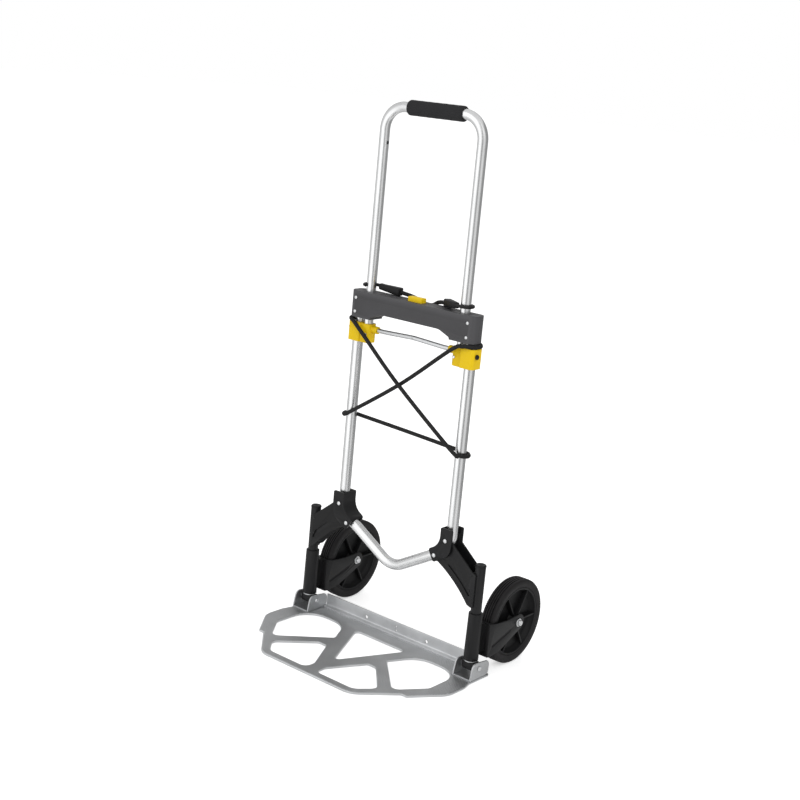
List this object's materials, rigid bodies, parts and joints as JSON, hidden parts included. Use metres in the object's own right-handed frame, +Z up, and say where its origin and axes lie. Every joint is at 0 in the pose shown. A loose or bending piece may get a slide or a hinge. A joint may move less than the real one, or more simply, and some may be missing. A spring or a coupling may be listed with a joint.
{
  "type": "folding hand truck",
  "caption": "Folding hand truck: a U-shaped tube frame, a telescopic handle locked by a push button, a folding toe plate, wheels on swinging forks and an elastic load cord.",
  "frame": {"origin": "on the floor, midway between the two upright posts, on the toe plate's underside", "axes": "+Z up along the frame, -Y to the front over the toe plate, +X to the right as seen from the front"},
  "size_m": [0.488, 0.4519, 1.0806],
  "materials": {
    "tube": "satin anodised tube",
    "plate": "ribbed, lightly brushed extrusion",
    "steel": "zinc plated",
    "black_steel": "semi-matt black coating",
    "black_plastic": "fine moulded texture",
    "grey_plastic": "dark grey, moulded",
    "yellow_plastic": "yellow, moulded",
    "foam": "soft foam",
    "tyre": "grooved tread",
    "cord": "woven sheath"
  },
  "bodies": {
    "frame": {"frame_tube": "tube", "crossbar_front": "grey_plastic", "crossbar_rear": "grey_plastic", "bungee_cord": "cord", "button_spring": "steel", "crossbar_rivet_left_upper": "steel", "crossbar_rivet_left_lower": "steel", "crossbar_rivet_right_upper": "steel", "crossbar_rivet_right_lower": "steel", "bracket_rivet_left_upper": "steel", "bracket_rivet_left_lower": "steel", "bracket_rivet_right_upper": "steel", "bracket_rivet_right_lower": "steel", "tube_bracket_left": "black_plastic", "tube_bracket_right": "black_plastic", "arm_left": "black_steel", "arm_right": "black_steel", "post_left": "black_steel", "post_right": "black_steel", "post_cap_left": "black_plastic", "post_cap_right": "black_plastic", "knuckle_left": "black_steel", "knuckle_right": "black_steel", "sleeve_wire_left": "steel", "sleeve_wire_right": "steel", "cord_hook_left": "black_plastic", "cord_hook_right": "black_plastic"},
    "handle": {"handle_tube": "tube", "handle_grip": "foam", "brace_rod": "steel", "slider_left": "yellow_plastic", "slider_right": "yellow_plastic", "slider_screw_left": "steel", "slider_screw_right": "steel", "slider_bolt_left": "black_plastic", "slider_bolt_right": "black_plastic"},
    "button": {"release_button": "yellow_plastic"},
    "pin_left": {"lock_pin_left": "steel"},
    "pin_right": {"lock_pin_right": "steel"},
    "toe_plate": {"toe_plate": "plate", "hinge_bracket_left": "steel", "hinge_bracket_right": "steel", "hinge_pin_left": "steel", "hinge_pin_right": "steel", "hinge_spring_left": "steel", "hinge_spring_right": "steel"},
    "fork_left": {"wheel_fork_left": "black_plastic", "axle_bolt_left": "steel"},
    "wheel_left": {"wheel_rim_left": "black_plastic", "tyre_left": "tyre", "wheel_bush_left": "steel"},
    "fork_right": {"wheel_fork_right": "black_plastic", "axle_bolt_right": "steel"},
    "wheel_right": {"wheel_rim_right": "black_plastic", "tyre_right": "tyre", "wheel_bush_right": "steel"}
  },
  "joints": [
    {"name": "handle_slide", "type": "slide", "parent": "frame", "child": "handle", "axis": [0, 0, -1], "range_m": [0, 0.31], "deforming": ["bungee_cord"]},
    {"name": "release_press", "type": "slide", "parent": "frame", "child": "button", "axis": [0, 0, -1], "range_m": [0, 0.006], "stiffness_N_per_m": 600, "deforming": ["button_spring"]},
    {"name": "lock_pin_left_slide", "type": "slide", "parent": "frame", "child": "pin_left", "axis": [1, 0, 0], "range_m": [0, 0.006]},
    {"name": "lock_pin_right_slide", "type": "slide", "parent": "frame", "child": "pin_right", "axis": [-1, 0, 0], "range_m": [0, 0.006]},
    {"name": "toe_plate_fold", "type": "hinge", "parent": "frame", "child": "toe_plate", "pos_m": [0, 0, 0.025], "axis": [-1, 0, 0], "range_deg": [0, 90]},
    {"name": "wheel_swing_left", "type": "hinge", "parent": "frame", "child": "fork_left", "pos_m": [-0.2155, 0, 0.0875], "axis": [0, 0, -1], "range_deg": [0, 90]},
    {"name": "wheel_swing_right", "type": "hinge", "parent": "frame", "child": "fork_right", "pos_m": [0.2155, 0, 0.0875], "axis": [0, 0, 1], "range_deg": [0, 90]},
    {"name": "wheel_spin_left", "type": "hinge", "parent": "fork_left", "child": "wheel_left", "pos_m": [-0.2155, 0.1244, 0.0875], "axis": [-1, 0, 0], "continuous": true},
    {"name": "wheel_spin_right", "type": "hinge", "parent": "fork_right", "child": "wheel_right", "pos_m": [0.2155, 0.1244, 0.0875], "axis": [-1, 0, 0], "continuous": true}
  ],
  "couplings": [
    {"joint": "lock_pin_left_slide", "follows": "release_press", "ratio": 1},
    {"joint": "lock_pin_right_slide", "follows": "release_press", "ratio": 1},
    {"joint": "wheel_swing_left", "follows": "toe_plate_fold", "ratio": 1},
    {"joint": "wheel_swing_right", "follows": "toe_plate_fold", "ratio": 1}
  ]
}
